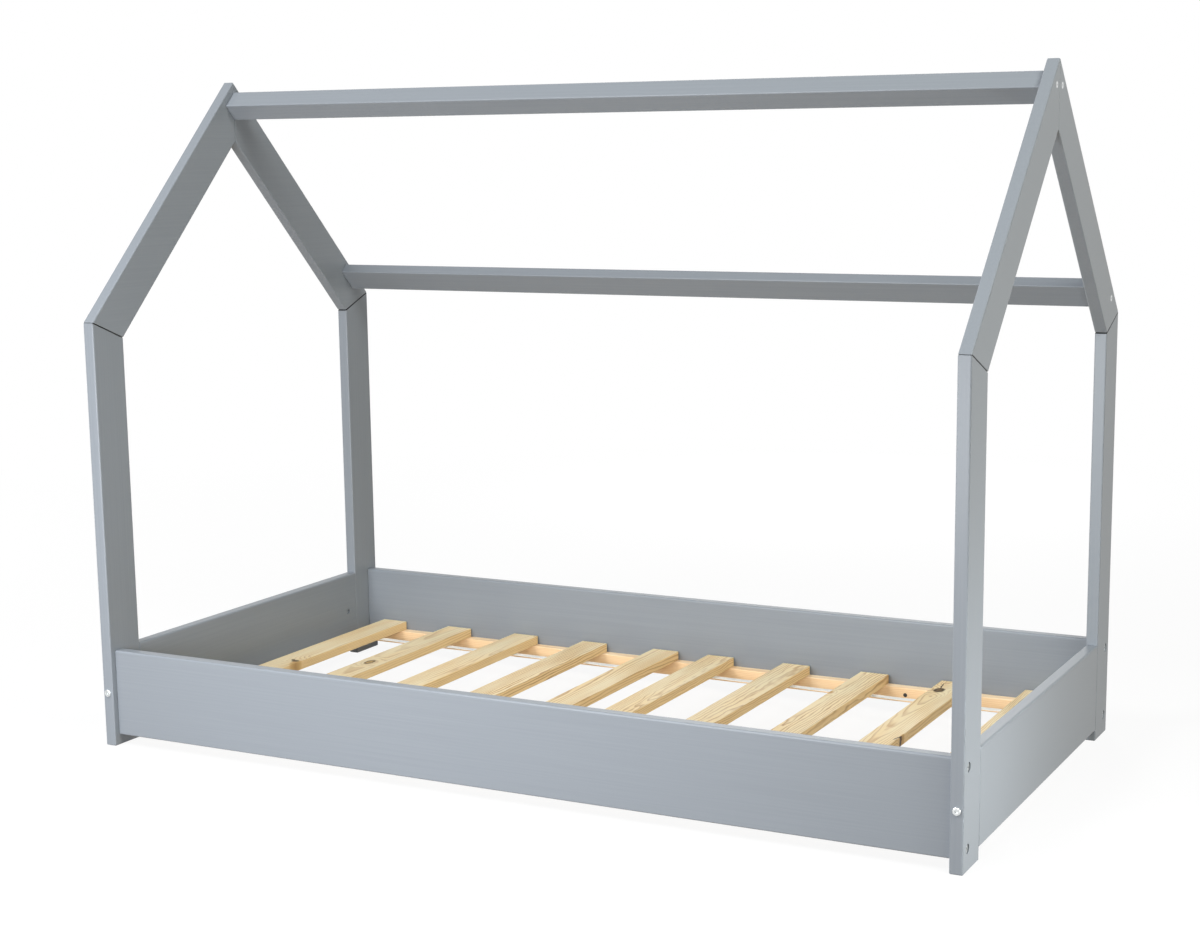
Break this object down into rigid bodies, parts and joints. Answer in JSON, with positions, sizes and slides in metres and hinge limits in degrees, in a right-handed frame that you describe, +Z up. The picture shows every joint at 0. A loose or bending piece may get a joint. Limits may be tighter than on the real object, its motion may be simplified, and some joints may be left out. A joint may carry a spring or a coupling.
{
  "type": "house-frame kids bed",
  "caption": "Low wooden kids bed with a house-shaped frame: mitred gables at both ends, a ridge beam, a rear eaves beam, low boards all round, and rolls of bare slats on bearers.",
  "frame": {"origin": "on the floor, under the middle of the bed", "axes": "+X along the bed to the right as seen from the open front, +Y to the rear where the eaves beam is, +Z up"},
  "size_m": [1.654, 0.874, 1.2182],
  "materials": {
    "painted_wood": "satin blue-grey paint on pine",
    "bearer_pine": "planed, bare",
    "slat_pine": "planed, bare",
    "dowel_wood": "bare",
    "ribbon": "woven",
    "zinc_steel": "bright zinc plate",
    "black_steel": "black phosphate"
  },
  "bodies": {
    "frame": {"front_left_post": "painted_wood", "front_right_post": "painted_wood", "rear_left_post": "painted_wood", "rear_right_post": "painted_wood", "front_left_rafter": "painted_wood", "front_right_rafter": "painted_wood", "rear_left_rafter": "painted_wood", "rear_right_rafter": "painted_wood", "ridge_beam": "painted_wood", "rear_eaves_beam": "painted_wood", "front_side_board": "painted_wood", "rear_side_board": "painted_wood", "left_end_board": "painted_wood", "right_end_board": "painted_wood", "front_slat_bearer": "bearer_pine", "rear_slat_bearer": "bearer_pine", "end_board_bolts": "zinc_steel", "barrel_nuts": "zinc_steel", "side_board_screws": "zinc_steel", "ridge_screws": "zinc_steel", "eaves_screws": "zinc_steel", "bearer_screws": "black_steel", "mitre_dowels": "dowel_wood", "apex_dowels": "dowel_wood"},
    "slat_roll_left": {"slat_01": "slat_pine", "slat_02": "slat_pine", "slat_03": "slat_pine", "slat_04": "slat_pine", "slat_05": "slat_pine", "left_roll_front_ribbon": "ribbon", "left_roll_rear_ribbon": "ribbon", "left_roll_staples": "zinc_steel"},
    "slat_roll_right": {"slat_06": "slat_pine", "slat_07": "slat_pine", "slat_08": "slat_pine", "slat_09": "slat_pine", "slat_10": "slat_pine", "right_roll_front_ribbon": "ribbon", "right_roll_rear_ribbon": "ribbon", "right_roll_staples": "zinc_steel"}
  },
  "joints": [
    {"name": "slat_roll_left_lift", "type": "slide", "parent": "frame", "child": "slat_roll_left", "axis": [0, 0, 1], "range_m": [0, 0.25]},
    {"name": "slat_roll_right_lift", "type": "slide", "parent": "frame", "child": "slat_roll_right", "axis": [0, 0, 1], "range_m": [0, 0.25]}
  ]
}
